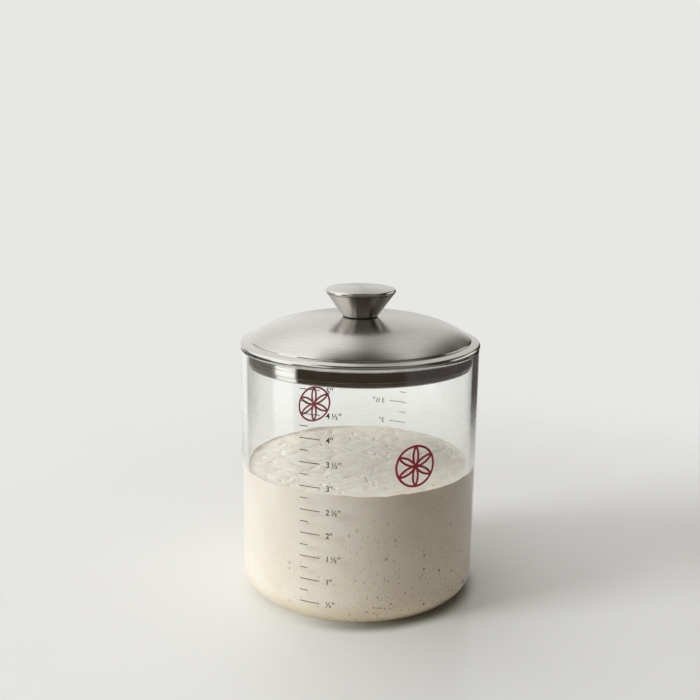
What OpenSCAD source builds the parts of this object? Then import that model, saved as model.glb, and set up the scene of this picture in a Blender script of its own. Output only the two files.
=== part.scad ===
// Straight glass jar for sourdough starter, with a printed inch scale and a loose domed steel lid.
// Millimetres, Z up, origin at the centre of the base; the scale faces -Y, a little to the left.

/* [Jar] */
// Outer radius of the glass
jar_r = 65; // [60:0.5:70]
// Height of the glass, base to rim
jar_h = 138.6; // [130:0.1:180]
// Thickness of the glass wall
wall = 3.2; // [2.6:0.1:3.6]
// Thickness of the glass floor
floor_t = 3.8; // [3:0.1:6]
// Outer radius of the rounded foot
foot_round = 12; // [8:0.5:14]
// Inner radius where the wall meets the floor
inner_round = 9; // [6:0.5:12]

/* [Scale] */
// Height of the scale's zero line above the base
scale_zero = 0.8; // [0:0.1:2]
// First mark, in quarter inches
first_mark = 2; // [1:1:4]
// Last mark, in quarter inches
last_mark = 20; // [8:1:20]
// Where the marks begin, in degrees round the jar from the front
mark_from = -27.1; // [-40:0.1:-20]
// Arc of a half-inch mark, in degrees
long_mark = 9.8; // [6:0.1:14]
// Arc of a quarter-inch mark, in degrees
short_mark = 3.9; // [2:0.1:5]
// Height of a mark's line
mark_line = 0.4; // [0.3:0.05:0.8]
// Thickness of the fired enamel
enamel = 0.12; // [0.05:0.01:0.2]

/* [Starter] */
// Height of the starter's surface above the base
starter_level = 72; // [40:1:110]
// How far the starter climbs where it meets the glass
meniscus = 1; // [0.5:0.1:2]
// Clearance between the starter and the glass
starter_gap = 0.3; // [0.2:0.05:0.5]

/* [Lid] */
// Thickness of the sheet steel
sheet = 0.6; // [0.5:0.05:0.7]
// Gap between the rolled rim of the lid and the glass
lid_gap = 0.3; // [0.2:0.05:0.5]
// How far the rolled rim stands out past the glass
rim_over = 0.4; // [0.2:0.1:0.8]
// Outer radius of the turn from the brim into the rolled rim
rim_round = 1.6; // [1.5:0.05:1.9]
// Width of the brim round the dome, with its rolled rim
brim_w = 5; // [4.6:0.1:6]
// Fall of the brim towards its rim, in degrees
brim_fall = 13; // [8:0.5:16]
// Straight rise at the dome's foot
foot_rise = 0.1; // [0.1:0.1:2]
// Radius of curvature of the dome's shoulder
shoulder_arc = 59; // [50:1:70]
// Radius at which the shoulder gives way to the crown
crown_from = 33; // [28:0.5:38]
// Radius of curvature of the dome's crown
crown_arc = 350; // [250:10:500]
// Radius of the knob's flat seat
seat_r = 10; // [9.5:0.1:12]
// Clearance between the skirt and the inside of the glass
mouth_play = 0.4; // [0.3:0.1:1.5]
// Depth of the skirt's step below the glass rim
step_depth = 7.3; // [5:0.1:7.8]
// Depth of the skirt's lower edge below the glass rim
skirt_depth = 10; // [9.5:0.1:14]
// How much smaller the skirt is below its step
step_in = 0.9; // [0.7:0.1:1.2]

/* [Knob] */
// Radius of the knob's neck
neck_r = 9.7; // [9:0.1:10]
// Radius of the cone under the cap
cone_r = 18.65; // [17:0.05:20]
// Height of the cone, neck to cap
cone_h = 12.3; // [11:0.1:15]
// Wall of the cone and of the cap
knob_wall = 0.9; // [0.7:0.1:1.2]
// Radius of the cap's rounded edge
cap_edge = 1.2; // [0.8:0.05:1.4]
// Rise of the cap from its edge to its middle
cap_crown = 1; // [0.3:0.1:2]
// Thickness of the gasket under the knob
gasket_t = 0.5; // [0.3:0.1:1]
// Outer radius of the threaded boss
boss_r = 6; // [5:0.1:7]
// Height of the threaded boss
boss_h = 9; // [8.5:0.5:10]

/* [Fasteners] */
// Radius of the screw's shank
shank_r = 2.45; // [2.4:0.01:2.48]
// Radius of the tapped hole
tapped_r = 2.5; // [2.5:0.01:2.55]
// Radius of the clearance holes
clear_r = 2.75; // [2.7:0.05:3]
// How far the shank reaches into the boss
engaged = 6.5; // [4:0.5:7.5]
// Radius of the screw's head
head_r = 4.75; // [4.5:0.05:5]
// Height of the screw's head
head_h = 2.8; // [2.4:0.1:3.2]
// Outer radius of the flat washer
washer_r = 6; // [5:0.1:8]
// Thickness of the flat washer
washer_t = 1; // [0.8:0.1:1.2]
// Outer radius of the spring washer
spring_r = 4.6; // [4.2:0.1:5]
// Thickness of the spring washer
spring_t = 1.2; // [1:0.1:1.4]
// Width of the spring washer's split
spring_split = 1; // [0.6:0.1:1.5]
// Lean of the spring washer's split, in degrees
split_lean = 25; // [15:1:35]

/* [Hidden] */
$fn = 144;

inch = 25.4;
clear_glass = [0.86, 0.92, 0.90, 0.35];
batter = "#e6dfce";
ink = "#2e211e";
brushed = "#b9b4aa";
bright = "#c9c8c4";
dark_rubber = "#2b2927";

// The rim of the lid: the brim turns down, folds sharply and runs back as a hem under the skirt's flange
lid_r = jar_r + rim_over;
fold_r = 0.35;
rim_bottom = jar_h + lid_gap;
hem_top = rim_bottom + sheet;
hem_end = jar_r - wall + 0.6;
rim_c = lid_r - rim_round;
rim_z = rim_bottom + fold_r;
brim_d = rim_c * sin(brim_fall) + rim_z * cos(brim_fall) + rim_round;

// The dome, from its foot up: a tight turn, the shoulder, the crown and the knob's flat seat
dome_r = lid_r - brim_w;
foot_turn = sheet + 0.1;
foot_fillet = 0.35;
fillet_c = dome_r + foot_fillet;
fillet_z = brim_height(fillet_c, -foot_fillet);
turn_c = dome_r - foot_turn;
turn_z = fillet_z + foot_rise;
crown_slope = asin(crown_from / crown_arc);
shoulder_c = crown_from - shoulder_arc * sin(crown_slope);
foot_slope = asin((turn_c - shoulder_c) / (shoulder_arc - foot_turn));
shoulder_z = turn_z - (shoulder_arc - foot_turn) * cos(foot_slope);
crown_z = shoulder_z - (crown_arc - shoulder_arc) * cos(crown_slope);
seat_slope = asin(seat_r / crown_arc);
seat_z = crown_z + crown_arc * cos(seat_slope);

// The skirt, from its flange under the brim down
flange_end = min(rim_c, rim_c + (brim_height(rim_c, 2 * sheet) - hem_top) / tan(brim_fall));
skirt_r = jar_r - wall - mouth_play;
step_z = jar_h - step_depth;
skirt_z = jar_h - skirt_depth;

// Heights up the knob
knob_base = seat_z + gasket_t;
boss_z = knob_base + knob_wall;
cap_base = knob_base + cone_h;
cap_edge_z = cap_base + cap_edge;
cap_rim = cap_edge_z + cap_edge;
cap_r = cone_r - 0.65;
cone_lean = atan((cone_r - neck_r) / cone_h);

// Heights down the screw
washer_z = seat_z - sheet - washer_t;
spring_z = washer_z - spring_t;
head_z = spring_z - head_h;

// Points on an arc about (r, z), with angles in degrees from the outward direction
function arc(r, z, radius, from, to, steps) =
    [for (i = [0 : steps]) let (a = from + (to - from) * i / steps) [r + radius * cos(a), z + radius * sin(a)]];

// Height at radius r of the plane that lies a given depth under the brim's upper face
function brim_height(r, depth) = (brim_d - depth - r * sin(brim_fall)) / cos(brim_fall);

function backwards(points) = [for (i = [len(points) - 1 : -1 : 0]) points[i]];

// Half outline of a round-footed vessel: along the floor, round the corner and up the wall
function vessel(radius, bottom, corner, top) =
    concat([[0, bottom]], arc(radius - corner, bottom + corner, corner, -90, 0, 15), [[radius, top]]);

module ring(outer_r, bore_r, z, height) {
    translate([0, 0, z])
        difference() {
            cylinder(r = outer_r, h = height);
            translate([0, 0, -1]) cylinder(r = bore_r, h = height + 2);
        }
}

// The rim is a full round between the outer and the inner wall
module glass_jar() {
    lip_r = wall / 2;
    lip_z = jar_h - lip_r;
    outside = vessel(jar_r, 0, foot_round, lip_z - 1);
    inside = vessel(jar_r - wall, floor_t, inner_round, lip_z - 1);
    color(clear_glass)
        rotate_extrude()
            polygon(concat(outside, arc(jar_r - lip_r, lip_z, lip_r, 0, 180, 16), backwards(inside)));
}

// One enamel line on the outside of the glass
module mark(height, arc_length) {
    rotate([0, 0, mark_from - 90])
        rotate_extrude(angle = arc_length)
            translate([jar_r, height - mark_line / 2])
                square([enamel, mark_line]);
}

// A mark each quarter inch; those at the half inches are long
module inch_scale() {
    color(ink)
        for (quarter = [first_mark : last_mark])
            mark(scale_zero + inch * quarter / 4, quarter % 2 == 0 ? long_mark : short_mark);
}

module front_scale() {
    inch_scale();
}

module rear_scale() {
    rotate([0, 0, 180]) inch_scale();
}

// The filling takes the shape of the vessel and climbs a little where it wets the glass
module starter() {
    r = jar_r - wall - starter_gap;
    climb_r = 2 * meniscus;
    body = vessel(r, floor_t + starter_gap, inner_round - starter_gap, starter_level + meniscus);
    climb = arc(r - climb_r, starter_level + climb_r, climb_r, -30, -90, 6);
    color(batter)
        rotate_extrude()
            polygon(concat(body, climb, [[0, starter_level]]));
}

// One face of the dome's sheet, from the screw hole out to the foot; depth 0 is the outer face
function dome_face(depth) =
    concat([[clear_r, seat_z - depth]],
           arc(0, crown_z, crown_arc - depth, 90 - seat_slope, 90 - crown_slope, 6),
           arc(shoulder_c, shoulder_z, shoulder_arc - depth, 90 - crown_slope, 90 - foot_slope, 14),
           arc(turn_c, turn_z, foot_turn - depth, 90 - foot_slope, 4, 8),
           arc(fillet_c, fillet_z, foot_fillet + depth, 184, 270 - brim_fall, 6));

// Dome, brim, and the rim rolled under the edge of the skirt's own flange
module lid_dome() {
    inner_round = rim_round - sheet;
    rolled = concat(
        arc(rim_c, rim_z, rim_round, 90 - brim_fall, 0, 12),
        arc(lid_r - fold_r, rim_z, fold_r, 0, -90, 5),
        [[hem_end, rim_bottom], [hem_end, hem_top]],
        arc(rim_c, rim_z, inner_round, asin((hem_top - rim_z) / inner_round), 90 - brim_fall, 8));
    color(brushed)
        rotate_extrude()
            polygon(concat(dome_face(0), rolled, backwards(dome_face(sheet))));
}

// The ring inside the mouth: a flange held by the rolled rim, a straight band, a step and a closed hem
module lid_skirt() {
    low_r = skirt_r - step_in;
    hem_r = low_r - sheet;
    edge = sheet / 2;
    bend = 0.5;
    bend_r = skirt_r + bend;
    bend_z = brim_height(bend_r, 2 * sheet + bend);
    outer_face = concat(
        [[flange_end, brim_height(flange_end, 2 * sheet)]],
        arc(bend_r, bend_z, bend, 90 - brim_fall, 180, 6),
        arc(skirt_r - edge, step_z + edge, edge, 0, -90, 5),
        arc(low_r + edge / 2, step_z - edge / 2, edge / 2, 90, 180, 4),
        arc(hem_r, skirt_z + sheet, sheet, 0, -180, 12),
        [[hem_r - sheet, step_z - edge]]);
    inner_face = concat(
        [[hem_r, step_z - edge], [hem_r, step_z], [skirt_r - sheet, step_z + sheet]],
        arc(bend_r, bend_z, bend + sheet, 180, 90 - brim_fall, 8),
        [[flange_end, brim_height(flange_end, sheet)]]);
    color(bright)
        rotate_extrude()
            polygon(concat(outer_face, inner_face));
}

module knob_gasket() {
    color(dark_rubber) ring(neck_r - 0.3, clear_r, seat_z, gasket_t);
}

// A conical cup with a drilled floor, open at the top
module knob_shell() {
    heel = 0.6;
    heel_c = neck_r - heel / cos(cone_lean) + heel * tan(cone_lean);
    thick = knob_wall / cos(cone_lean);
    inner_neck = neck_r - thick + knob_wall * tan(cone_lean);
    color(brushed)
        rotate_extrude()
            polygon(concat(
                [[clear_r, knob_base]],
                arc(heel_c, knob_base + heel, heel, -90, -cone_lean, 6),
                [[cone_r, cap_base], [cone_r - thick, cap_base], [inner_neck, boss_z], [clear_r, boss_z]]));
}

// A thin crowned disc with a rounded edge, welded on the mouth of the cup
module knob_cap() {
    crown_r = (cap_r * cap_r + cap_crown * cap_crown) / (2 * cap_crown);
    half = asin(cap_r / crown_r);
    under = cap_rim - knob_wall;
    land = cap_r - 1.2;
    color(brushed)
        rotate_extrude()
            polygon(concat(
                [[0, under], [land, under], [land, cap_base]],
                arc(cap_r, cap_edge_z, cap_edge, -90, 90 - half, 14),
                arc(0, cap_rim + cap_crown - crown_r, crown_r, 90 - half, 90, 8)));
}

// Threaded insert standing on the floor of the cup, tapped from below
module knob_boss() {
    color(bright)
        translate([0, 0, boss_z])
            difference() {
                cylinder(r = boss_r, h = boss_h);
                translate([0, 0, -1]) cylinder(r = tapped_r, h = boss_h);
            }
}

module flat_washer() {
    color(bright) ring(washer_r, clear_r, washer_z, washer_t);
}

// Split ring, pressed flat by the screw
module spring_washer() {
    color(brushed)
        difference() {
            ring(spring_r, clear_r - 0.1, spring_z, spring_t);
            translate([spring_r, 0, spring_z + spring_t / 2])
                rotate([split_lean, 0, 0])
                    cube([2 * spring_r, spring_split, 4 * spring_t], center = true);
        }
}

// Pan head, rounded below, and the shank that reaches into the boss
module knob_screw() {
    pan = head_h / 2;
    tip = 0.5;
    shank_top = boss_z + engaged;
    color(bright)
        rotate_extrude()
            polygon(concat(
                [[0, head_z]],
                arc(head_r - pan, head_z + pan, pan, -90, 0, 8),
                [[head_r, spring_z], [shank_r, spring_z], [shank_r, shank_top - tip],
                 [shank_r - tip, shank_top], [0, shank_top]]));
}

glass_jar();
front_scale();
rear_scale();
starter();
lid_dome();
lid_skirt();
knob_gasket();
knob_shell();
knob_cap();
knob_boss();
flat_washer();
spring_washer();
knob_screw();
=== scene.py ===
"""Looks of a sourdough starter jar: clear glass with a fired inch scale, the batter in it, and a loose
domed steel lid with a conical knob. Metres and degrees; Z is up and the front faces -Y."""

import math

import bpy
import numpy as np
from mathutils import Matrix, Vector


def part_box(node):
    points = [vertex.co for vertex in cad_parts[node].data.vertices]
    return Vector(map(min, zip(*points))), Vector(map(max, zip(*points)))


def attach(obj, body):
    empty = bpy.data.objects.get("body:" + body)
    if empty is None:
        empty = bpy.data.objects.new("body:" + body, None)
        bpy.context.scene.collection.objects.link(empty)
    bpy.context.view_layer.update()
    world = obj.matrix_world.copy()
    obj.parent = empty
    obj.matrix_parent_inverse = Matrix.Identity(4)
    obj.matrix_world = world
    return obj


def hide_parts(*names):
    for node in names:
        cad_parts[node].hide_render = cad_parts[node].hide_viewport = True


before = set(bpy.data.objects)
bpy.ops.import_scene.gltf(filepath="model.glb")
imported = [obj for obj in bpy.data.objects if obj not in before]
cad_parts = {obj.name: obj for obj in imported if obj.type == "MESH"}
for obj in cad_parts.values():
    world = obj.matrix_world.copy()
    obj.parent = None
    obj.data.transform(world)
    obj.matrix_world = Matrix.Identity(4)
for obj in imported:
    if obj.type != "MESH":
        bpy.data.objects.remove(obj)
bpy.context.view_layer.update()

MM = 0.001


def low(node):
    """The lowest height of a node of the frame."""
    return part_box(node)[0].z


def high(node):
    """The greatest height of a node of the frame."""
    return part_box(node)[1].z


def reach(node):
    """The outer radius of a round node of the frame."""
    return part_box(node)[1].x


# The jar
jar_r = 65 * MM
jar_h = high("glass_jar")
wall = 3.2 * MM
floor_t = 3.8 * MM
foot_round = 12 * MM
inner_round = 9 * MM

# The printed scale and the ornament; their places round the jar are in degrees, 0 in front
inch = 25.4 * MM
scale_zero = 0.8 * MM
first_mark, last_mark = 2, 20
mark_from = -27.1
long_mark, short_mark = 9.8, 3.9
mark_line = 0.4 * MM
figures_from = -14.6
figure_size = 4.3 * MM
figure_drop = 0.345 * figure_size
figure_weight = 0.05 * MM
print_rise = 0.08 * MM
print_sink = 0.03 * MM
ornament_at = 26.3
ornament_z = 88 * MM
ornament_r = 11.2 * MM
ornament_line = 1.2 * MM

# The starter
starter_level = 72 * MM
meniscus = 1 * MM
wet_overlap = 0.1 * MM

# The lid
sheet = 0.6 * MM
rim_over = 0.4 * MM
rim_round = 1.6 * MM
fold_r = 0.35 * MM
hem_past_wall = 0.6 * MM
brim_w = 5 * MM
brim_fall = 13
foot_rise = 0.1 * MM
foot_bend = 0.1 * MM
foot_fillet = 0.35 * MM
shoulder_arc = 59 * MM
crown_from = 33 * MM
crown_arc = 350 * MM
seat_r = 10 * MM
mouth_play = 0.4 * MM
skirt_bend = 0.5 * MM
step_depth = 7.3 * MM
step_in = 0.9 * MM
clear_r = 2.75 * MM

# The knob
neck_r = 9.7 * MM
knob_wall = 0.9 * MM
cap_edge = 1.2 * MM
cap_crown = 1 * MM
cap_inset = 0.65 * MM
cap_land = 1.2 * MM
knob_heel = 0.6 * MM

# The screw and its spring washer
shank_r = 2.45 * MM
shank_chamfer = 0.5 * MM
spring_bore_r = 2.65 * MM
spring_split = 1 * MM
split_lean = 25
washer_edge = 0.12 * MM
gasket_edge = 0.1 * MM

# Colours of the finishes
brushed_shade = (0.64, 0.62, 0.59)
bright_shade = (0.76, 0.75, 0.73)
# The seam's colour is a painted shadow in the fold
seam_shadow = (0.02, 0.016, 0.012)
dark_print, dark_print_back = (0.045, 0.028, 0.024), (0.34, 0.24, 0.22)
red_print, red_print_back = (0.38, 0.018, 0.038), (0.50, 0.07, 0.10)
batter_side, batter_side_dark = (0.81, 0.775, 0.73), (0.775, 0.72, 0.66)
# The top's colours are paler than the side's: partly the batter's own colour, partly painted light
batter_top_lit, batter_top_lit_dark = (0.97, 0.90, 0.83), (0.94, 0.86, 0.775)
# Painted shade: for the hollows of the starter's top, and inside its bubbles
batter_hollow_shade, batter_bubble_shade = (0.55, 0.46, 0.33), (0.17, 0.10, 0.05)

# Steps round a turned piece, and the angle in degrees from which an edge is sharp
ROUND = 360
SHARP = 38


def arc(r, z, radius, start, end, steps=8):
    """Points (r, z) on a circle from start to end degrees: centre plus radius times cosine and sine."""
    a = np.radians(np.linspace(start, end, steps + 1))
    return np.column_stack([r + radius * np.cos(a), z + radius * np.sin(a)])


def mesh_object(name, points, faces, body):
    """A smooth mesh piece with creases where its faces meet at more than SHARP degrees."""
    mesh = bpy.data.meshes.new(name)
    mesh.from_pydata(points.tolist(), [], faces)
    mesh.shade_smooth()
    mesh.set_sharp_from_angle(angle=math.radians(SHARP))
    mesh.update()
    piece = bpy.data.objects.new(name, mesh)
    bpy.context.scene.collection.objects.link(piece)
    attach(piece, body)
    return piece


def skin(grid, loop=False, start=None, end=None):
    """Points and faces over a grid of points whose columns run round and close on themselves.
    loop joins the last row to the first; start and end are points that close the first and last
    row with a fan."""
    rows, cols = grid.shape[:2]
    here = np.arange(rows * cols).reshape(rows, cols)
    beside = np.roll(here, -1, axis=1)
    quads = np.stack([here, beside, np.roll(beside, -1, axis=0), np.roll(here, -1, axis=0)], axis=-1)
    faces = quads[: rows if loop else rows - 1].reshape(-1, 4).tolist()
    points = [grid.reshape(-1, 3)]
    for pole, ring, ahead in ((start, here[0], 1), (end, here[-1], -1)):
        if pole is not None:
            tip = np.full(cols, sum(len(p) for p in points))
            fan = [tip, np.roll(ring, -1), ring] if ahead == 1 else [tip, ring, np.roll(ring, -1)]
            faces += np.stack(fan, axis=-1).tolist()
            points.append(np.array([pole]))
    return np.concatenate(points), faces


def bar(grid):
    """Points and faces of a section carried along a path, with flat ends. Each row of the grid is the
    section at one place."""
    points, faces = skin(grid)
    count = grid.shape[1]
    last = len(points) - count
    return points, faces + [list(range(count))[::-1], list(range(last, last + count))]


def held(outline):
    """The outline with two more points close to the ends of each long straight run, so that smooth
    shading leaves the run straight. The run along the axis, which makes no faces, stays as it is."""
    nearly = 0.12 * MM
    long_from = 1.6 * MM
    ahead = np.roll(outline, -1, axis=0)
    run = ahead - outline
    length = np.linalg.norm(run, axis=1)[:, None]
    step = run / np.maximum(length, 1e-9) * nearly
    spread = np.stack([outline, outline + step, ahead - step], axis=1)
    long_run = (length[:, 0] > long_from) & (outline[:, 0] + ahead[:, 0] > 1e-9)
    return spread[np.column_stack([np.ones(len(outline), bool), long_run, long_run])]


def turned(name, outline, body, sides=ROUND):
    """An outline of (r, z) points turned about Z: x = r cos t, y = r sin t. An outline that starts and
    ends on the axis closes there in a point, and any other one closes on itself."""
    outline = held(np.concatenate([np.atleast_2d(part) for part in outline]))
    r, z = outline[:, 0], outline[:, 1]
    area = np.sum(r * np.roll(z, -1) - np.roll(r, -1) * z)
    if area < 0:
        outline = outline[::-1]
    on_axis = outline[0, 0] < 1e-9
    start, end = [(0, 0, outline[i, 1]) if on_axis else None for i in (0, -1)]
    rings = outline[1:-1] if on_axis else outline
    t = np.linspace(0, 2 * np.pi, sides, endpoint=False)
    r, z = rings[:, :1], rings[:, 1:]
    grid = np.stack([r * np.cos(t), r * np.sin(t), z + 0 * t], axis=-1)
    points, faces = skin(grid, not on_axis, start, end)
    return mesh_object(name, points, faces, body)


def vessel(radius, bottom, corner, top, steps=24):
    """Half outline of a round-footed vessel: along the floor, round the corner and up the wall."""
    return np.concatenate([
        [(0, bottom), (radius * 0.4, bottom)],
        arc(radius - corner, bottom + corner, corner, -90, 0, steps),
        [(radius, top)],
    ])


def around(x, y, depth, turn=0.0):
    """Puts flat points on the jar: x metres to the right becomes an angle, x / jar_r, y a height, and
    depth a radius, jar_r + depth."""
    a = np.radians(turn) + x / jar_r
    r = jar_r + depth
    return np.stack([r * np.sin(a), -r * np.cos(a), y], axis=-1)


# Shader nodes

def node(tree, kind, inputs=None, **settings):
    """A shader node with its settings, its inputs set to values or linked to other nodes' outputs."""
    made = tree.nodes.new("ShaderNode" + kind)
    for name, value in settings.items():
        setattr(made, name, value)
    for key, value in (inputs or {}).items():
        if isinstance(value, bpy.types.NodeSocket):
            tree.links.new(value, made.inputs[key])
        else:
            made.inputs[key].default_value = value
    return made


def empty_material(name):
    """A material with nothing in it but its output, and its tree."""
    material = bpy.data.materials.new(name)
    material.use_nodes = True
    tree = material.node_tree
    tree.nodes.clear()
    return material, tree, tree.nodes.new("ShaderNodeOutputMaterial")


def math_node(tree, operation, a, b=0.0):
    """The result of a sum on one or two values."""
    return node(tree, "Math", {0: a, 1: b}, operation=operation).outputs[0]


def noise(tree, vector, scale, detail=3.0, roughness=0.5):
    """Cloudy noise from 0 to 1; scale counts its lumps in a metre."""
    inputs = {"Vector": vector, "Scale": scale, "Detail": detail, "Roughness": roughness}
    return node(tree, "TexNoise", inputs).outputs["Fac"]


def ranged(tree, value, from_min, from_max, to_min, to_max, smooth=False):
    """A value moved from one range to another and held inside it."""
    kind = "SMOOTHSTEP" if smooth else "LINEAR"
    inputs = {
        "Value": value, "From Min": from_min, "From Max": from_max, "To Min": to_min, "To Max": to_max,
    }
    return node(tree, "MapRange", inputs, interpolation_type=kind).outputs[0]


def mixed(tree, factor, a, b):
    """Colour a where the factor is 0 and b where it is 1."""
    mix = node(tree, "Mix", data_type="RGBA")
    for socket, value in ((mix.inputs[0], factor), (mix.inputs[6], a), (mix.inputs[7], b)):
        if isinstance(value, bpy.types.NodeSocket):
            tree.links.new(value, socket)
        else:
            socket.default_value = value
    return mix.outputs[2]


def colour(r, g, b):
    """An opaque colour."""
    return (r, g, b, 1.0)


def turning_place(tree, around_scale, across_scale):
    """Coordinates for marks that run round Z: the direction from the axis, which changes slowly, and
    the distance from the axis plus the height, which changes fast. The distance itself comes second."""
    place = node(tree, "TexCoord").outputs["Object"]
    parts = node(tree, "SeparateXYZ", {0: place})
    flat = node(tree, "CombineXYZ", {0: parts.outputs[0], 1: parts.outputs[1], 2: 0.0}).outputs[0]
    radius = node(tree, "VectorMath", {0: flat}, operation="LENGTH").outputs["Value"]
    direction = node(tree, "VectorMath", {0: flat}, operation="NORMALIZE").outputs["Vector"]
    across = math_node(tree, "MULTIPLY", math_node(tree, "ADD", radius, parts.outputs[2]), across_scale)
    scaling = {0: direction, "Scale": around_scale}
    slow = node(tree, "VectorMath", scaling, operation="SCALE").outputs["Vector"]
    fast = node(tree, "CombineXYZ", {0: 0.0, 1: 0.0, 2: across}).outputs[0]
    return node(tree, "VectorMath", {0: slow, 1: fast}, operation="ADD").outputs["Vector"], radius


def clear_glass():
    """Clear glass with a faint yellow-green body colour, slightly uneven, that lets light shine through
    to what stands in and behind it."""
    material, tree, output = empty_material("clear_glass")
    place = node(tree, "TexCoord").outputs["Object"]
    ripple = noise(tree, place, 28.0, detail=1.0)
    bump = node(tree, "Bump", {"Height": ripple, "Strength": 0.03, "Distance": 0.002})
    smear = ranged(tree, noise(tree, place, 60.0), 0.5, 0.8, 0.0, 0.012)
    glass = node(tree, "BsdfPrincipled", {
        "Base Color": colour(1, 1, 1), "Roughness": smear, "IOR": 1.5,
        "Transmission Weight": 1.0, "Normal": bump.outputs[0],
    })
    path = node(tree, "LightPath")
    open_way = node(tree, "BsdfTransparent", {"Color": colour(0.975, 0.98, 0.97)})
    glass_shown, clear = glass.outputs[0], open_way.outputs[0]
    lamps = node(tree, "MixShader", {0: path.outputs["Is Shadow Ray"], 1: glass_shown, 2: clear})
    soft = node(tree, "MixShader", {0: path.outputs["Is Diffuse Ray"], 1: lamps.outputs[0], 2: clear})
    tint = node(tree, "VolumeAbsorption", {"Color": colour(0.80, 0.93, 0.55), "Density": 9.0})
    tree.links.new(soft.outputs[0], output.inputs["Surface"])
    tree.links.new(tint.outputs[0], output.inputs["Volume"])
    return material


def enamel(name, shade, back_shade):
    """Fired screen print: satin, with a slightly uneven film of colour, and paler on the face that was
    fired on the glass, which shows through it from the inside."""
    material, tree, output = empty_material(name)
    place = node(tree, "TexCoord").outputs["Object"]
    grain = noise(tree, place, 1400.0)
    thin = tuple(min(1.0, c * 1.6 + 0.01) for c in shade)
    film = mixed(tree, ranged(tree, grain, 0.35, 0.75, 0.0, 1.0), colour(*shade), colour(*thin))
    outward = node(tree, "TexCoord").outputs["Normal"]
    facing = node(tree, "VectorMath", {0: outward, 1: place}, operation="DOT_PRODUCT").outputs["Value"]
    on_glass = math_node(tree, "LESS_THAN", facing, -0.5 * jar_r)
    film = mixed(tree, on_glass, film, colour(*back_shade))
    bump = node(tree, "Bump", {"Height": grain, "Strength": 0.15, "Distance": 0.00005})
    shader = node(tree, "BsdfPrincipled", {
        "Base Color": film, "Roughness": 0.42, "Normal": bump.outputs[0],
    })
    tree.links.new(shader.outputs[0], output.inputs["Surface"])
    return material


# Bubbles: cells in a metre, a bubble's radius as a share of a cell, and the share of cells without one
bubbles = (
    (1100.0, 0.34, 0.70),
    (560.0, 0.30, 0.82),
    (260.0, 0.27, 0.84),
    (120.0, 0.17, 0.74),
)


def batter():
    """Flour and water, cream with tan mottling, with painted shade in the hollows of its top and a top
    paler than the side, partly by painted light. Bubbles of four sizes lie against the glass, most of
    them low down and on the right, their dark painted as the shade inside them."""
    material, tree, output = empty_material("batter")
    place = node(tree, "TexCoord").outputs["Object"]
    hollow = node(tree, "Attribute", attribute_name="hollow").outputs["Fac"]
    mottle = ranged(tree, noise(tree, place, 38.0, detail=4.0, roughness=0.6), 0.38, 0.68, 0.0, 1.0)
    body = mixed(tree, mottle, colour(*batter_side), colour(*batter_side_dark))
    # The open top is paler: partly its own colour, partly painted light
    lit_open_top = mixed(tree, mottle, colour(*batter_top_lit), colour(*batter_top_lit_dark))
    is_lit_open_top = node(tree, "Attribute", attribute_name="lit_open_top").outputs["Fac"]
    body = mixed(tree, is_lit_open_top, body, lit_open_top)
    # Painted shade in the hollows of the top
    shaded_pockets = mixed(tree, ranged(tree, hollow, 0.0, 1.0, 0.0, 0.5), body, colour(*batter_hollow_shade))
    east, _, height = node(tree, "SeparateXYZ", {0: place}).outputs
    # More of the bubbles low down and on the right
    low_down = ranged(tree, height, 62 * MM, 12 * MM, 0.25, 1.0)
    to_the_right = ranged(tree, east, -45 * MM, 5 * MM, 0.25, 1.0)
    low_right_share = math_node(tree, "MULTIPLY", low_down, to_the_right)
    patch = ranged(tree, noise(tree, place, 30.0, detail=1.0), 0.40, 0.58, 0.45, 1.0)
    patch = math_node(tree, "MULTIPLY", patch, low_right_share)
    dots = None
    for cells_in_metre, size, empty_share in bubbles:
        cells = node(tree, "TexVoronoi", {"Vector": place, "Scale": cells_in_metre, "Randomness": 1.0})
        spot = ranged(tree, cells.outputs["Distance"], size * 0.5, size, 1.0, 0.0, smooth=True)
        pick = node(tree, "SeparateColor", {0: cells.outputs["Color"]}).outputs[0]
        chosen = math_node(tree, "GREATER_THAN", pick, empty_share)
        dot = math_node(tree, "MULTIPLY", spot, chosen)
        dots = dot if dots is None else math_node(tree, "MAXIMUM", dots, dot)
    dots = math_node(tree, "MULTIPLY", dots, patch)
    # The bubbles' dark is painted shade inside them; the bump below dents them as well
    shade = mixed(tree, math_node(tree, "MULTIPLY", dots, 0.95), shaded_pockets, colour(*batter_bubble_shade))
    fine = noise(tree, place, 900.0, detail=2.0)
    relief = math_node(tree, "SUBTRACT", math_node(tree, "MULTIPLY", fine, 0.25), dots)
    bump = node(tree, "Bump", {"Height": relief, "Strength": 0.35, "Distance": 0.0004})
    shader = node(tree, "BsdfPrincipled", {
        "Base Color": shade, "Roughness": ranged(tree, fine, 0.3, 0.7, 0.36, 0.55),
        "Subsurface Weight": 0.4, "Subsurface Radius": (1.0, 0.55, 0.3), "Subsurface Scale": 0.0012,
        "Specular IOR Level": 0.35, "Normal": bump.outputs[0],
    })
    tree.links.new(shader.outputs[0], output.inputs["Surface"])
    return material


# Half widths of the shadow painted along a folded seam: where it is full, and where it ends
seam_half, seam_fade = 0.18 * MM, 0.34 * MM


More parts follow.
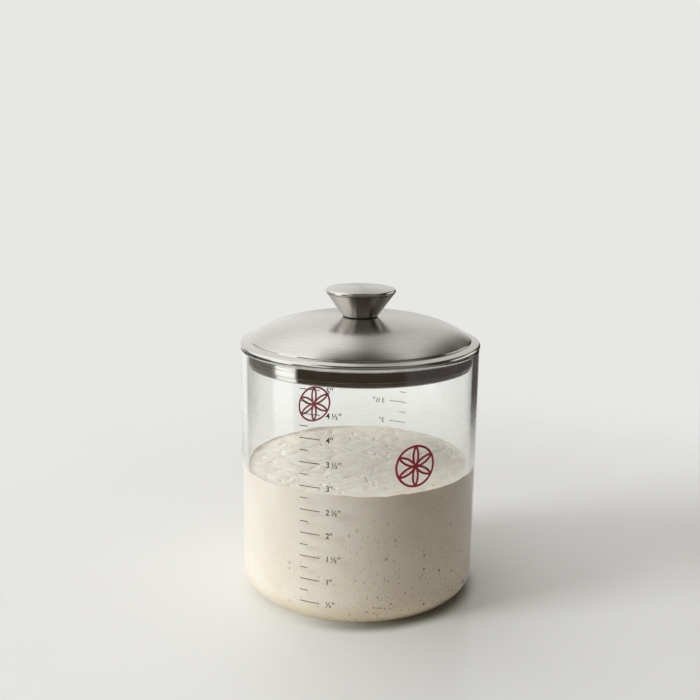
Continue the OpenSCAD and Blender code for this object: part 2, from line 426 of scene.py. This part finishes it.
def steel(name, shade, roughness, spread, brush, line, rolled_from=1.0, seam_z=0.0, streak=0.90):
    """Stainless steel brushed round the axis: lines of a slowly changing depth that run round Z, the
    darkest of them streak times the shade, a highlight drawn out across them by spread, and a little
    cloudiness. Past the radius rolled_from the sheet is smoother, where the rolling has burnished it.
    A painted shadow, a dark line, marks a folded seam at the height seam_z; none of the metal lies at
    height 0."""
    material, tree, output = empty_material(name)
    place = node(tree, "TexCoord").outputs["Object"]
    line_place, radius = turning_place(tree, 2.2, line)
    lines = noise(tree, line_place, 1.0, detail=5.0, roughness=0.65)
    cloud = noise(tree, place, 55.0, detail=2.0)
    darker = tuple(c * streak for c in shade)
    metal = mixed(tree, ranged(tree, lines, 0.35, 0.65, 0.0, 1.0), colour(*darker), colour(*shade))
    height = node(tree, "SeparateXYZ", {0: place}).outputs[2]
    # A shadow painted along the fold at seam_z
    from_seam = math_node(tree, "ABSOLUTE", math_node(tree, "SUBTRACT", height, seam_z))
    seam = ranged(tree, from_seam, seam_half, seam_fade, 0.9, 0.0)
    metal = mixed(tree, seam, metal, colour(*seam_shadow))
    burnish = ranged(tree, radius, rolled_from - 0.3 * MM, rolled_from + 0.3 * MM, 1.0, 0.55)
    satin = math_node(
        tree, "ADD",
        ranged(tree, lines, 0.3, 0.7, roughness * 1.12, roughness * 0.88),
        ranged(tree, cloud, 0.3, 0.7, -0.02, 0.02),
    )
    groove = math_node(tree, "MULTIPLY", lines, burnish)
    bump = node(tree, "Bump", {"Height": groove, "Strength": brush, "Distance": 0.00004})
    run = node(tree, "Tangent", direction_type="RADIAL", axis="Z")
    shader = node(tree, "BsdfPrincipled", {
        "Base Color": metal, "Metallic": 1.0, "Roughness": math_node(tree, "MULTIPLY", satin, burnish),
        "Anisotropic": spread, "Anisotropic Rotation": 0.25,
        "Normal": bump.outputs[0], "Tangent": run.outputs[0],
    })
    tree.links.new(shader.outputs[0], output.inputs["Surface"])
    return material


def rubber():
    """Dark matt rubber with a fine grain."""
    material, tree, output = empty_material("dark_rubber")
    place = node(tree, "TexCoord").outputs["Object"]
    grain = noise(tree, place, 1800.0)
    shade = mixed(tree, grain, colour(0.018, 0.018, 0.017), colour(0.045, 0.044, 0.042))
    bump = node(tree, "Bump", {"Height": grain, "Strength": 0.3, "Distance": 0.00005})
    shader = node(tree, "BsdfPrincipled", {
        "Base Color": shade, "Roughness": 0.75, "Normal": bump.outputs[0],
    })
    tree.links.new(shader.outputs[0], output.inputs["Surface"])
    return material


def dress(piece, material):
    """Gives a piece its one material."""
    piece.data.materials.clear()
    piece.data.materials.append(material)


# Camera, worked out from the printed inches and the jar's outline in a 700 pixel square picture

PICTURE = 700
focal_px = 1019.0
centre_drop_px = 30
pitch, roll, yaw = np.radians([14.21, 0.59, -0.55])
camera_place = Vector((0, -545.5, 255.75)) * MM


def make_camera():
    """A camera that looks along +Y, turned by yaw, tipped down by pitch and leant by roll."""
    ahead = Vector((math.sin(yaw) * math.cos(pitch), math.cos(yaw) * math.cos(pitch), -math.sin(pitch)))
    right = Vector((math.cos(yaw), -math.sin(yaw), 0))
    up = right.cross(ahead)
    side = right * math.cos(roll) + up * math.sin(roll)
    top = up * math.cos(roll) - right * math.sin(roll)
    lens = bpy.data.cameras.new("camera")
    lens.sensor_width = 36
    lens.lens = focal_px / PICTURE * lens.sensor_width
    lens.shift_y = centre_drop_px / PICTURE
    lens.clip_start, lens.clip_end = 0.01, 20
    camera = bpy.data.objects.new("camera", lens)
    bpy.context.scene.collection.objects.link(camera)
    facing = Matrix((side, top, -ahead)).transposed().to_4x4()
    camera.matrix_world = Matrix.Translation(camera_place) @ facing
    bpy.context.scene.camera = camera


def lamp(name, azimuth, elevation, distance, size, power, shade):
    """A square soft lamp aimed at the middle of the jar; azimuth 0 is the front and 90 the right."""
    light = bpy.data.lights.new(name, "AREA")
    light.size = size
    light.energy = power
    light.color = shade
    a, e = math.radians(azimuth), math.radians(elevation)
    towards = Vector((math.sin(a) * math.cos(e), -math.cos(a) * math.cos(e), math.sin(e)))
    made = bpy.data.objects.new(name, light)
    bpy.context.scene.collection.objects.link(made)
    made.visible_glossy = False
    made.matrix_world = (
        Matrix.Translation(Vector((0, 0, jar_h / 2)) + towards * distance)
        @ towards.to_track_quat("Z", "Y").to_matrix().to_4x4()
    )


def panel(tree, under, across, upward, soft, shade):
    """Lays a soft-edged patch over a sky: full between two angles round and two angles up, in degrees.
    across and upward each give the angle of the ray and those two limits."""
    inside = None
    for angle, start, stop in (across, upward):
        for edge, away in ((start, -1), (stop, 1)):
            fade = ranged(tree, angle, edge, edge + away * soft, 1.0, 0.0, smooth=True)
            inside = fade if inside is None else math_node(tree, "MULTIPLY", inside, fade)
    return mixed(tree, inside, under, colour(*shade))


# The lamp's colour, the room that metal mirrors, the soft light on matt faces, and what shows past the
# jar beside it and through its glass
daylight = (0.96, 0.99, 1.0)
mirrored_ceiling, mirrored_backdrop = (0.05, 0.036, 0.024), (1.25, 1.25, 1.22)
soft_dark, soft_light = (0.012, 0.006, 0.002), (1.85, 1.82, 1.76)
background, background_in_glass = (0.80, 0.80, 0.785), (0.93, 0.93, 0.91)

# Patches of the mirrored room, in degrees: from and to round the jar, with 0 in front and 90 on the
# right, from and to above the horizon, and the softness of the edge; then the colour
room_patches = (
    (-62, 62, 12, 52, 16, (0.22, 0.21, 0.195)),    # the room's side towards the camera
    (-56, -36, 16, 46, 12, (1.0, 0.99, 0.96)),     # a pale strip to the left of the camera
    (-126, -67, -40, 64, 4, (1.45, 1.45, 1.43)),   # the window
    (-138, -92, -30, 0, 4, (0.20, 0.185, 0.175)),  # shade under the window
    (50, 150, -30, -6, 8, (0.085, 0.072, 0.072)),  # shade low on the right
    (100, 140, 4, 22, 5, (1.1, 1.1, 1.08)),        # a pale strip low on the right
)


def studio():
    """Soft daylight from the left, and a room for the metal to mirror: a pale backdrop, a dim grey side
    towards the camera, and a dark ceiling. Matt faces are lit by simpler soft light from the left, from
    behind and from above. What is seen past the jar is a plain pale background, a little paler through
    the glass, which dims it."""
    lamp("window", azimuth=-70, elevation=25, distance=3.0, size=1.0, power=59.0, shade=daylight)
    world = bpy.data.worlds.new("studio")
    bpy.context.scene.world = world
    world.use_nodes = True
    tree = world.node_tree
    tree.nodes.clear()
    place = node(tree, "TexCoord").outputs["Generated"]
    x, y, z = node(tree, "SeparateXYZ", {0: place}).outputs
    front = math_node(tree, "MULTIPLY", y, -1.0)
    side = math_node(tree, "MULTIPLY", math_node(tree, "ARCTAN2", x, front), 180 / math.pi)
    rise = math_node(tree, "MULTIPLY", math_node(tree, "ARCSINE", z), 180 / math.pi)

    # The backdrop, up to where the ceiling begins; its right part ends early and has a dim corner
    behind = ranged(tree, math_node(tree, "ABSOLUTE", side), 75, 115, 0.0, 1.0, smooth=True)
    lower = ranged(tree, rise, 60, 77, 1.0, 0.04, smooth=True)
    middle = math_node(tree, "ABSOLUTE", math_node(tree, "SUBTRACT", x, 0.06))
    corner = ranged(tree, middle, 0.02, 0.12, 0.66, 1.0, smooth=True)
    corner = math_node(tree, "MAXIMUM", corner, ranged(tree, rise, 18, 40, 1.0, 0.0))
    far_right = math_node(tree, "SUBTRACT", x, math_node(tree, "MULTIPLY", rise, 0.003))
    far_right = ranged(tree, far_right, 0.20, 0.36, 0.58, 0.02, smooth=True)
    right_side = math_node(tree, "MULTIPLY", far_right, corner)
    left_side = ranged(tree, rise, 24, 46, 0.74, 0.96, smooth=True)
    sides = mixed(tree, ranged(tree, x, 0.03, -0.14, 0.0, 1.0, smooth=True), right_side, left_side)
    backdrop = math_node(tree, "MULTIPLY", behind, math_node(tree, "MULTIPLY", lower, sides))
    mirrored = mixed(tree, backdrop, colour(*mirrored_ceiling), colour(*mirrored_backdrop))
    for side_from, side_to, rise_from, rise_to, edge, shade in room_patches:
        across = (side, side_from, side_to)
        upward = (rise, rise_from, rise_to)
        mirrored = panel(tree, mirrored, across, upward, edge, shade)

    # Soft light for matt faces: from the left, from behind, and from above and a little to the left
    left = ranged(tree, x, 0.1, -0.9, 0.0, 0.20, smooth=True)
    back = ranged(tree, y, 0.1, 0.9, 0.0, 0.93, smooth=True)
    back = math_node(tree, "MULTIPLY", back, ranged(tree, x, -0.20, 0.35, 1.0, 0.05))
    overhead = math_node(tree, "SUBTRACT", z, math_node(tree, "MULTIPLY", x, 0.4))
    top = ranged(tree, overhead, 0.55, 1.0, 0.0, 0.74, smooth=True)
    brightest = math_node(tree, "MAXIMUM", math_node(tree, "MAXIMUM", left, back), top)
    soft = mixed(tree, brightest, colour(*soft_dark), colour(*soft_light))

    path = node(tree, "LightPath")
    room = mixed(tree, path.outputs["Is Diffuse Ray"], mirrored, soft)
    unmirrored = math_node(tree, "LESS_THAN", path.outputs["Glossy Depth"], 0.5)
    through = math_node(tree, "MULTIPLY", path.outputs["Is Transmission Ray"], unmirrored)
    shown = mixed(tree, through, room, colour(*background_in_glass))
    shown = mixed(tree, path.outputs["Is Camera Ray"], shown, colour(*background))
    sky = node(tree, "Background", {"Color": shown, "Strength": 1.0})
    output = tree.nodes.new("ShaderNodeOutputWorld")
    tree.links.new(sky.outputs[0], output.inputs[0])


# The worktop: its two tones, the shadow painted round the foot, and what it throws back on matt faces
# from near the jar and from further off
stone_dark, stone_pale = (0.69, 0.69, 0.68), (0.73, 0.73, 0.72)
foot_painted_shadow = (0.08, 0.07, 0.05)
thrown_near, thrown_far = (1.0, 0.87, 0.70), (0.46, 0.38, 0.29)


def worktop():
    """A pale worktop just under the jar that fades into the background, with a shadow painted darkest
    round the jar's foot on the side away from the daylight and from the backdrop."""
    size = 1.2
    drop = 0.1 * MM
    mesh = bpy.data.meshes.new("worktop")
    corners = [(-size, -size, -drop), (size, -size, -drop), (size, size, -drop), (-size, size, -drop)]
    mesh.from_pydata(corners, [], [(0, 1, 2, 3)])
    top = bpy.data.objects.new("worktop", mesh)
    bpy.context.scene.collection.objects.link(top)
    material, tree, output = empty_material("worktop")
    place = node(tree, "TexCoord").outputs["Object"]
    far = node(tree, "VectorMath", {0: place}, operation="LENGTH").outputs["Value"]
    fade = ranged(tree, far, 0.20, 0.48, 0.0, 1.0, smooth=True)
    cloud = noise(tree, place, 9.0, detail=5.0)
    tone = mixed(tree, cloud, colour(*stone_dark), colour(*stone_pale))
    east, north, _ = node(tree, "SeparateXYZ", {0: place}).outputs

    # How far a point lies towards the shaded side of the jar, to the right and forwards
    lee = math_node(
        tree, "SUBTRACT",
        math_node(tree, "MULTIPLY", east, 0.75),
        math_node(tree, "MULTIPLY", north, 0.66),
    )
    # A painted shadow on the worktop: darkest close round the foot, on the side away from the daylight
    contact = math_node(
        tree, "MULTIPLY",
        ranged(tree, lee, 5 * MM, 55 * MM, 0.0, 0.85, smooth=True),
        ranged(tree, far, 60 * MM, 70 * MM, 1.0, 0.0, smooth=True),
    )
    tone = mixed(tree, contact, tone, colour(*foot_painted_shadow))

    # What the worktop throws back on matt faces is darker and browner further off
    outwards = ranged(tree, far, 0.08, 0.20, 0.0, 1.0)
    thrown = mixed(tree, outwards, colour(*thrown_near), colour(*thrown_far))
    tone = mixed(tree, node(tree, "LightPath").outputs["Is Diffuse Ray"], tone, thrown)
    stone = node(tree, "BsdfPrincipled", {
        "Base Color": tone, "Roughness": 0.16, "Specular IOR Level": 0.4,
    })
    away = node(tree, "BsdfTransparent", {"Color": colour(1, 1, 1)})
    blend = node(tree, "MixShader", {0: fade, 1: stone.outputs[0], 2: away.outputs[0]})
    tree.links.new(blend.outputs[0], output.inputs["Surface"])
    dress(top, material)


# The jar and its print

def glass_jar():
    """The vessel: its outside, a full-round rim, and its inside."""
    lip = wall / 2
    lip_z = jar_h - lip
    outside = vessel(jar_r, 0, foot_round, lip_z)
    inside = vessel(jar_r - wall, floor_t, inner_round, lip_z)
    rim = arc(jar_r - lip, lip_z, lip, 5, 175, 24)
    jar = turned("glass_jar_clear", [outside, rim, inside[::-1]], "jar")
    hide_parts("glass_jar")
    return jar


def mark_lines(name, turn):
    """The scale's lines: boxes bent round the jar, one each quarter inch, long at the half inches."""
    quarters = np.arange(first_mark, last_mark + 1)
    steps = 12
    points, faces = [], []
    for quarter in quarters:
        span = long_mark if quarter % 2 == 0 else short_mark
        a = np.radians(turn + mark_from + span * np.linspace(0, 1, steps + 1))[:, None]
        r = jar_r + np.array([-print_sink, print_rise, print_rise, -print_sink])
        z = scale_zero + inch * quarter / 4 + mark_line * np.array([0.5, 0.5, -0.5, -0.5])
        grid = np.stack([r * np.sin(a), -r * np.cos(a), z + 0 * a], axis=-1)
        first = sum(len(p) for p in points)
        bar_points, bar_faces = bar(grid)
        faces += [[first + i for i in face] for face in bar_faces]
        points.append(bar_points)
    return mesh_object(name, np.concatenate(points), faces, "jar")


def figure_words(halves):
    """A height in half inches as whole inches and a half."""
    words = [str(halves // 2)] if halves >= 2 else []
    words += ["½"] if halves % 2 else []
    return " ".join(words) + "″"


def figures(name, turn):
    """The scale's figures: flat type made a mesh, then bent round the jar beside its long lines."""
    points, faces = [], []
    for halves in range(first_mark // 2, last_mark // 2 + 1):
        type_curve = bpy.data.curves.new("figure", "FONT")
        type_curve.body = figure_words(halves)
        type_curve.size = figure_size
        type_curve.extrude = (print_rise + print_sink) / 2
        type_curve.space_character = 0.94
        type_curve.space_word = 0.75
        type_curve.offset = figure_weight
        type_curve.resolution_u = 6
        flat = bpy.data.objects.new("figure", type_curve)
        bpy.context.scene.collection.objects.link(flat)
        bpy.context.view_layer.update()
        finished = flat.evaluated_get(bpy.context.evaluated_depsgraph_get())
        letters = bpy.data.meshes.new_from_object(finished)
        bpy.data.objects.remove(flat)
        co = np.empty(len(letters.vertices) * 3, np.float32)
        letters.vertices.foreach_get("co", co)
        x, y, depth = co.reshape(-1, 3).T.astype(float)
        height = scale_zero + inch * halves / 2 - figure_drop
        first = sum(len(p) for p in points)
        faces += [[first + i for i in face.vertices] for face in letters.polygons]
        points.append(around(x, height + y, depth + (print_rise - print_sink) / 2, turn + figures_from))
        bpy.data.meshes.remove(letters)
    return mesh_object(name, np.concatenate(points), faces, "jar")


def bent_ribbon(x, y, width, turn, closed=False):
    """A flat band of one width along a flat path, with a box section, bent round the jar. A closed path
    runs on into itself, and an open one has flat ends."""
    path = np.stack([x, y], axis=-1)
    if closed:
        along = np.roll(path, -1, axis=0) - np.roll(path, 1, axis=0)
    else:
        along = np.gradient(path, axis=0)
    across = np.stack([-along[:, 1], along[:, 0]], axis=-1)
    across /= np.linalg.norm(across, axis=1)[:, None]
    edges = [(-0.5, -print_sink), (0.5, -print_sink), (0.5, print_rise), (-0.5, print_rise)]
    rows = [around(*(path + across * width * side).T, depth, turn) for side, depth in edges]
    grid = np.stack(rows, axis=1)
    return skin(grid, loop=True) if closed else bar(grid)


def ornament(name, turn):
    """A plain compass-drawn rosette: a ring, and six arcs of the ring's own radius through its
    middle."""
    line_r = ornament_r - ornament_line * 0.5
    at = turn + ornament_at
    t = np.radians(np.linspace(0, 360, 96, endpoint=False))
    ring_x, ring_y = line_r * np.cos(t), line_r * np.sin(t)
    bands = [bent_ribbon(ring_x, ornament_z + ring_y, ornament_line, at, closed=True)]
    for k in range(6):
        middle = math.radians(30 + 60 * k)
        sweep = middle + math.pi + np.radians(np.linspace(-60, 60, 34))
        petal_x = line_r * (math.cos(middle) + np.cos(sweep))
        petal_y = line_r * (math.sin(middle) + np.sin(sweep))
        bands.append(bent_ribbon(petal_x, ornament_z + petal_y, ornament_line, at))
    points, faces = [], []
    for band_points, band_faces in bands:
        first = sum(len(p) for p in points)
        faces += [[first + i for i in face] for face in band_faces]
        points.append(band_points)
    return mesh_object(name, np.concatenate(points), faces, "jar")


# The starter

def lattice_noise(x, y, seed):
    """Smooth noise from 0 to 1: random heights on a unit lattice, eased between its points by
    3t^2 - 2t^3."""
    size = 64
    heights = np.random.default_rng(seed).random((size, size))
    i, j = np.floor(x).astype(int), np.floor(y).astype(int)
    s, t = x - i, y - j
    s, t = s * s * (3 - 2 * s), t * t * (3 - 2 * t)
    near = heights[i % size, j % size] * (1 - s) + heights[(i + 1) % size, j % size] * s
    far = heights[i % size, (j + 1) % size] * (1 - s) + heights[(i + 1) % size, (j + 1) % size] * s
    return near * (1 - t) + far * t


# Folds of the starter's top, from large to fine: width, depth and height in millimetres, and seed
folds = ((10.0, 5.0, 0.36, 4), (6.5, 3.2, 0.22, 5), (3.4, 2.0, 0.12, 7))
lump_height = 0.8 * MM
bend_reach = 7 * MM
craters = 110

# Waves of its line on the glass, from long to short: lumps in a radius, height in millimetres, and seed
line_waves = ((5, 1.1, 11), (17, 0.7, 12))


def batter_relief(x, y):
    """Height of the starter's top over its level, and how deep in a hollow a point lies, from 0 to 1:
    low lumps from smooth noise, folds from the distance of bent smooth noise to its middle value, and
    for each crater a fallen bell curve with a raised ring round it."""
    lumps = lattice_noise(x / (26 * MM), y / (22 * MM), 1) - 0.5
    bend_x = bend_reach * (lattice_noise(x / (13 * MM), y / (13 * MM), 2) - 0.5)
    bend_y = bend_reach * (lattice_noise(x / (11 * MM), y / (11 * MM), 3) - 0.5)
    height, hollow = lump_height * lumps, 0
    for wide, deep, tall, seed in folds:
        bent = lattice_noise((x + bend_x) / (wide * MM), (y + bend_y) / (deep * MM), seed)
        ridge = np.abs(2 * bent - 1)
        height = height + tall * MM * (np.minimum(ridge * 1.6, 1) - 0.6)
        hollow = hollow + tall * 0.5 * np.clip(1 - ridge / 0.16, 0, 1)
    random = np.random.default_rng(6)
    for _ in range(craters):
        a, far = random.uniform(0, 2 * np.pi), 60 * MM * math.sqrt(random.uniform(0, 1))
        size = random.uniform(0.4, 1.1) * MM
        near = np.hypot(x - far * math.cos(a), y - far * math.sin(a)) / size
        height += size * (0.10 * np.exp(-((near - 1.25) / 0.35) ** 2) - 0.8 * np.exp(-near ** 2 * 1.4))
        hollow = np.maximum(hollow, 0.9 * np.exp(-near ** 2 * 2.2))
    return height, np.clip(hollow, 0, 1)


def starter():
    """The batter: its bottom and side follow the inside of the glass and wet it, and its top is the
    relief, which climbs the glass at the edge by a falling exponential. The line where it ends on the
    glass is uneven: smooth noise along the angle, at two scales."""
    sides = 560
    rings = 136
    climb_width = 1.1 * MM
    radius = jar_r - wall + wet_overlap
    bottom = floor_t - wet_overlap
    corner = inner_round
    t = np.linspace(0, 2 * np.pi, sides, endpoint=False)
    c, s = np.cos(t), np.sin(t)
    waver = sum(
        tall * (lattice_noise(lumps * c + 9, lumps * s + 9, seed) - 0.5)
        for lumps, tall, seed in line_waves
    )
    contact = starter_level + meniscus + waver * MM
    below = vessel(radius, bottom, corner, bottom + corner, 12)[1:-1]
    lower = [np.stack([r * c, r * s, z + 0 * t], axis=-1) for r, z in below]
    climb = np.linspace(0, 1, 9)[1:, None]
    side_z = (bottom + corner) * (1 - climb) + contact * climb
    side = np.stack([radius * c + 0 * climb, radius * s + 0 * climb, side_z], axis=-1)
    r = radius * (1 - np.linspace(0, 1, rings + 1)[1:-1, None])
    x, y = r * c, r * s
    height, hollow = batter_relief(x, y)
    held_by_wall = np.exp(-(radius - r) / climb_width)
    top_z = (starter_level + height) * (1 - held_by_wall) + contact * held_by_wall
    top = np.stack([x, y, top_z], axis=-1)
    grid = np.concatenate([np.array(lower), side, top])
    middle = (0, 0, top_z[-1].mean())
    points, faces = skin(grid, start=(0, 0, bottom), end=middle)
    made = mesh_object("starter_batter", points, faces, "jar")
    first = (len(lower) + len(side)) * sides
    # The open top is the part that the batter's material paints paler, partly as painted light
    for name, values in (("hollow", hollow), ("lit_open_top", 1 - held_by_wall + 0 * hollow)):
        whole = np.zeros(len(points), np.float32)
        whole[first:first + values.size] = values.ravel()
        made.data.attributes.new(name, "FLOAT", "POINT").data.foreach_set("value", whole)
    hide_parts("starter")
    return made


# The lid

lid_r = jar_r + rim_over
rim_bottom = low("lid_dome")
hem_top = rim_bottom + sheet
hem_end = jar_r - wall + hem_past_wall
rim_c = lid_r - rim_round
rim_z = rim_bottom + fold_r
fall_sin, fall_cos = math.sin(math.radians(brim_fall)), math.cos(math.radians(brim_fall))
brim_d = rim_c * fall_sin + rim_z * fall_cos + rim_round


def brim_height(r, depth):
    """Height at radius r of the plane that lies a given depth under the brim's upper face."""
    return (brim_d - depth - r * fall_sin) / fall_cos


dome_r = lid_r - brim_w
foot_turn = sheet + foot_bend
fillet_c = dome_r + foot_fillet
fillet_z = brim_height(fillet_c, -foot_fillet)
turn_c = dome_r - foot_turn
turn_z = fillet_z + foot_rise
crown_slope = math.degrees(math.asin(crown_from / crown_arc))
shoulder_c = crown_from - shoulder_arc * math.sin(math.radians(crown_slope))
foot_slope = math.degrees(math.asin((turn_c - shoulder_c) / (shoulder_arc - foot_turn)))
shoulder_z = turn_z - (shoulder_arc - foot_turn) * math.cos(math.radians(foot_slope))
crown_z = shoulder_z - (crown_arc - shoulder_arc) * math.cos(math.radians(crown_slope))
seat_slope = math.degrees(math.asin(seat_r / crown_arc))
seat_z = low("knob_gasket")
skirt_r = jar_r - wall - mouth_play
step_z = jar_h - step_depth
skirt_z = low("lid_skirt")
knob_base = low("knob_shell")
cap_base = low("knob_cap")
cone_r = reach("knob_shell")
cone_lean = math.degrees(math.atan((cone_r - neck_r) / (cap_base - knob_base)))


def dome_face(depth):
    """One face of the dome's sheet from the screw hole out to the foot; depth 0 is the outer face."""
    return np.concatenate([
        [(clear_r, seat_z - depth), (seat_r * 0.8, seat_z - depth)],
        arc(0, crown_z, crown_arc - depth, 90 - seat_slope, 90 - crown_slope, 16),
        arc(shoulder_c, shoulder_z, shoulder_arc - depth, 90 - crown_slope, 90 - foot_slope, 36)[1:],
        arc(turn_c, turn_z, foot_turn - depth, 90 - foot_slope, 4, 10)[1:],
        arc(fillet_c, fillet_z, foot_fillet + depth, 184, 270 - brim_fall, 8),
    ])


def lid_dome():
    """Dome, brim, and the rim rolled under the edge of the skirt's own flange."""
    inner = rim_round - sheet
    inner_from = math.degrees(math.asin((hem_top - rim_z) / inner))
    rolled = np.concatenate([
        arc(rim_c, rim_z, rim_round, 90 - brim_fall, 0, 20),
        arc(lid_r - fold_r, rim_z, fold_r, 0, -90, 8)[1:],
        [(hem_end, rim_bottom), (hem_end, hem_top)],
        arc(rim_c, rim_z, inner, inner_from, 90 - brim_fall, 10),
    ])
    lid = turned("lid_dome_spun", [dome_face(0), rolled, dome_face(sheet)[::-1]], "lid")
    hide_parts("lid_dome")
    return lid


def lid_skirt():
    """The ring inside the mouth: a flange held by the rolled rim, a straight band, a step and a closed
    hem."""
    low_r = skirt_r - step_in
    hem_r = low_r - sheet
    edge = sheet / 2
    bend_r = skirt_r + skirt_bend
    bend_z = brim_height(bend_r, 2 * sheet + skirt_bend)
    outer = [
        [(rim_c, brim_height(rim_c, 2 * sheet))],
        arc(bend_r, bend_z, skirt_bend, 90 - brim_fall, 180, 8),
        arc(skirt_r - edge, step_z + edge, edge, 0, -90, 6),
        arc(low_r + edge / 2, step_z - edge / 2, edge / 2, 90, 180, 5),
        arc(hem_r, skirt_z + sheet, sheet, 0, -180, 16),
        [(hem_r - sheet, step_z - edge)],
    ]
    inner = [
        [(hem_r, step_z - edge), (hem_r, step_z), (skirt_r - sheet, step_z + sheet)],
        arc(bend_r, bend_z, skirt_bend + sheet, 180, 90 - brim_fall, 10),
        [(rim_c, brim_height(rim_c, sheet))],
    ]
    skirt = turned("lid_skirt_formed", outer + inner, "lid")
    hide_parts("lid_skirt")
    return skirt


def soft_square(node_name, bore_r, soft):
    """The section of a flat ring with softened edges, as high and as wide as its node."""
    bottom, top, outer_r = low(node_name), high(node_name), reach(node_name)
    corners = ((outer_r - soft, bottom + soft, -90), (outer_r - soft, top - soft, 0),
               (bore_r + soft, top - soft, 90), (bore_r + soft, bottom + soft, 180))
    return np.concatenate([arc(r, z, soft, a, a + 90, 4) for r, z, a in corners])


def ring(name, node_name, soft, slot):
    """A flat ring with a clearance hole."""
    made = turned(name, [soft_square(node_name, clear_r, soft)], "lid", 180)
    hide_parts(node_name)
    return made


def knob_shell():
    """A conical cup with a rounded heel and a drilled floor."""
    lean = math.radians(cone_lean)
    heel_c = neck_r - knob_heel / math.cos(lean) + knob_heel * math.tan(lean)
    thick = knob_wall / math.cos(lean)
    floor_r = neck_r - thick + knob_wall * math.tan(lean)
    floor_z = knob_base + knob_wall
    outline = [
        [(clear_r, knob_base)],
        arc(heel_c, knob_base + knob_heel, knob_heel, -90, -cone_lean, 10),
        [(cone_r, cap_base), (cone_r - thick, cap_base), (floor_r, floor_z), (clear_r, floor_z)],
    ]
    shell = turned("knob_shell_cone", outline, "lid")
    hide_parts("knob_shell")
    return shell


def knob_cap():
    """A thin crowned disc with a full-round edge."""
    cap_r = cone_r - cap_inset
    rim = cap_base + 2 * cap_edge
    crown_r = (cap_r ** 2 + cap_crown ** 2) / (2 * cap_crown)
    half = math.degrees(math.asin(cap_r / crown_r))
    under = rim - knob_wall
    land = cap_r - cap_land
    outline = [
        [(0, under), (land, under), (land, cap_base)],
        arc(cap_r, cap_base + cap_edge, cap_edge, -90, 90 - half, 20),
        arc(0, rim + cap_crown - crown_r, crown_r, 90 - half, 90, 16)[1:],
    ]
    cap = turned("knob_cap_disc", outline, "lid")
    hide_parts("knob_cap")
    return cap


def spring_washer():
    """A split ring: a rounded square section carried round the axis and sheared, so that its ends
    lean."""
    lean = math.tan(math.radians(split_lean))
    r, z = soft_square("spring_washer", spring_bore_r, washer_edge).T
    gap = spring_split / 2 / r.mean()
    t = np.linspace(gap, 2 * np.pi - gap, 121)[:, None] - (z - z.mean()) * lean / r
    grid = np.stack([r * np.cos(t), r * np.sin(t), z + 0 * t], axis=-1)
    points, faces = bar(grid)
    faces = [face[::-1] for face in faces]
    made = mesh_object("spring_washer_split", points, faces, "lid")
    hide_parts("spring_washer")
    return made


def knob_screw():
    """Shank and pan head turned from one outline; the head's face is then pushed in along a cross whose
    arms narrow and whose floor rises with the distance from the middle."""
    head_z, shank_top = low("knob_screw"), high("knob_screw")
    spring_z = low("spring_washer")
    head_r = reach("knob_screw")
    pan = (spring_z - head_z) / 2
    face_r = head_r - pan
    rings = np.linspace(0, face_r, 34)[:, None] * [1, 0] + [0, head_z]
    outline = [
        rings,
        arc(face_r, head_z + pan, pan, -90, 0, 12)[1:],
        [(head_r, spring_z), (shank_r, spring_z), (shank_r, shank_top - shank_chamfer)],
        [(shank_r - shank_chamfer, shank_top), (0, shank_top)],
    ]
    screw = turned("knob_screw_pan", outline, "lid", 240)
    co = np.empty(len(screw.data.vertices) * 3, np.float32)
    screw.data.vertices.foreach_get("co", co)
    co = co.reshape(-1, 3)
    x, y = np.abs(co[:, 0]), np.abs(co[:, 1])
    arm_r = 2.3 * MM
    arm_half = 0.42 * MM
    side_slope = 0.1 * MM
    end_slope = 0.25 * MM
    cross_depth = 1.6 * MM
    far, off = np.maximum(x, y), np.minimum(x, y)
    inside = np.clip((arm_half * (1.25 - 0.35 * far / arm_r) - off) / side_slope, 0, 1)
    inside *= np.clip((arm_r - far) / end_slope, 0, 1)
    on_face = np.abs(co[:, 2] - head_z) < 1e-6
    co[:, 2] += np.where(on_face, inside * (cross_depth - 0.45 * far), 0)
    screw.data.vertices.foreach_set("co", co.ravel())
    screw.data.update()
    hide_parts("knob_screw")
    return screw


def build():
    """Makes every piece and gives it its finish."""
    make_camera()
    studio()
    worktop()
    dress(glass_jar(), clear_glass())
    dark = enamel("dark_enamel", dark_print, dark_print_back)
    red = enamel("red_enamel", red_print, red_print_back)
    for side, turn in (("front", 0), ("rear", 180)):
        lines = mark_lines(side + "_scale_lines", turn)
        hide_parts(side + "_scale")
        dress(lines, dark)
        dress(figures(side + "_scale_figures", turn), dark)
        dress(ornament(side + "_ornament", turn), red)
    dress(starter(), batter())
    lid_metal = steel(
        "brushed_lid", brushed_shade, roughness=0.20, spread=0.85, brush=0.20, line=5200.0,
        rolled_from=dome_r - 0.4 * MM,
    )
    knob_metal = steel(
        "brushed_knob", brushed_shade, roughness=0.19, spread=0.80, brush=0.18, line=6500.0,
    )
    bright_metal = steel(
        "bright_steel", bright_shade, roughness=0.10, spread=0.45, brush=0.25, line=1300.0,
        seam_z=step_z, streak=0.55,
    )
    dress(lid_dome(), lid_metal)
    dress(knob_shell(), knob_metal)
    dress(knob_cap(), knob_metal)
    dress(lid_skirt(), bright_metal)
    dress(ring("flat_washer_ring", "flat_washer", washer_edge, "bright_steel"), bright_metal)
    dress(ring("knob_gasket_ring", "knob_gasket", gasket_edge, "dark_rubber"), rubber())
    dress(spring_washer(), bright_metal)
    dress(knob_screw(), bright_metal)
    dress(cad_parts["knob_boss"], bright_metal)
    bpy.context.scene.view_settings.view_transform = "Standard"


build()
